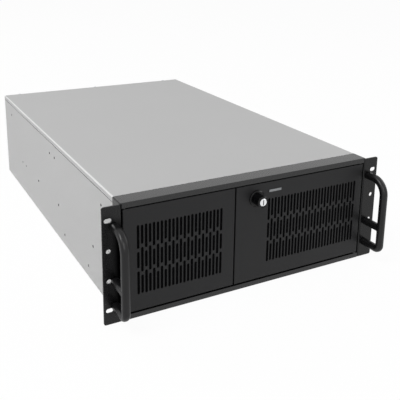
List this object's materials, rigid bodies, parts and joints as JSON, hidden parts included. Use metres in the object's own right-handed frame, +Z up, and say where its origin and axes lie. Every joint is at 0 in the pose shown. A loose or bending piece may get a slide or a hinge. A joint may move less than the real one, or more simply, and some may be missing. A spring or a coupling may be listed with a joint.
{
  "type": "rackmount server case",
  "caption": "Rackmount server case with two vented, hinged front doors, a key lock, rack ears, three-legged handles and a screwed top cover.",
  "frame": {"origin": "middle of the base: halfway across and along the case, on the surface it stands on", "axes": "+X to the right seen from the front, +Y to the rear, +Z up"},
  "size_m": [0.4826, 0.7522, 0.177],
  "materials": {
    "grey_paint": "satin light grey powder coat",
    "black_paint": "fine black powder coat",
    "black_handle": "smooth black coat on cast alloy",
    "zinc": "zinc plated",
    "black_screw": "black oxide",
    "chrome": "polished",
    "black_plastic": "matt",
    "black_lock": "satin black",
    "foam": "open cell foam",
    "board": "solder mask",
    "lamp": "clear lens",
    "brass": "bright",
    "nylon": "black nylon"
  },
  "bodies": {
    "case": {"chassis_pan": "grey_paint", "top_cover": "grey_paint", "cover_thumbscrews": "zinc", "front_frame": "black_paint", "right_ear": "black_paint", "left_ear": "black_paint", "ear_screws": "black_screw", "right_handle": "black_handle", "left_handle": "black_handle", "handle_screws": "black_screw", "hinge_pins": "zinc", "door_washers": "nylon", "lock_keeper": "zinc", "magnet_catch": "black_plastic", "drive_cage": "zinc", "bay_covers": "black_plastic", "disk_cage": "zinc", "switch_panel": "black_plastic", "switch_board": "board", "lamps": "lamp", "usb_sockets": "zinc", "rear_panel": "grey_paint", "slot_covers": "zinc", "card_screws": "zinc", "standoffs": "brass", "card_bar": "zinc", "supply_shelf": "zinc", "front_fan_frame": "black_plastic", "rear_right_fan_frame": "black_plastic", "rear_left_fan_frame": "black_plastic"},
    "left_door": {"left_door": "black_paint", "left_filter": "foam", "left_filter_frame": "zinc"},
    "right_door": {"right_door": "black_paint", "right_filter": "foam", "right_filter_frame": "zinc", "lock_body": "black_lock", "lock_nut": "zinc"},
    "lock_core": {"lock_core": "chrome", "lock_cam": "zinc"},
    "power_button": {"power_button": "black_plastic"},
    "reset_button": {"reset_button": "black_plastic"},
    "front_fan_rotor": {"front_fan_rotor": "black_plastic"},
    "rear_right_fan_rotor": {"rear_right_fan_rotor": "black_plastic"},
    "rear_left_fan_rotor": {"rear_left_fan_rotor": "black_plastic"}
  },
  "joints": [
    {"name": "left_door_hinge", "type": "hinge", "parent": "case", "child": "left_door", "pos_m": [-0.2075, -0.346, 0.0886], "axis": [0, 0, -1], "range_deg": [0, 90]},
    {"name": "right_door_hinge", "type": "hinge", "parent": "case", "child": "right_door", "pos_m": [0.2075, -0.346, 0.0886], "axis": [0, 0, 1], "range_deg": [0, 90]},
    {"name": "lock_turn", "type": "hinge", "parent": "right_door", "child": "lock_core", "pos_m": [0.004, -0.3495, 0.1445], "axis": [0, 1, 0], "range_deg": [0, 90]},
    {"name": "power_button_press", "type": "slide", "parent": "case", "child": "power_button", "axis": [0, 1, 0], "range_m": [0, 0.002], "stiffness_N_per_m": 400},
    {"name": "reset_button_press", "type": "slide", "parent": "case", "child": "reset_button", "axis": [0, 1, 0], "range_m": [0, 0.002], "stiffness_N_per_m": 300},
    {"name": "front_fan_spin", "type": "hinge", "parent": "case", "child": "front_fan_rotor", "pos_m": [-0.123, -0.31, 0.088], "axis": [0, 1, 0], "continuous": true},
    {"name": "rear_right_fan_spin", "type": "hinge", "parent": "case", "child": "rear_right_fan_rotor", "pos_m": [0.008, 0.336, 0.113], "axis": [0, 1, 0], "continuous": true},
    {"name": "rear_left_fan_spin", "type": "hinge", "parent": "case", "child": "rear_left_fan_rotor", "pos_m": [-0.076, 0.336, 0.113], "axis": [0, 1, 0], "continuous": true}
  ]
}
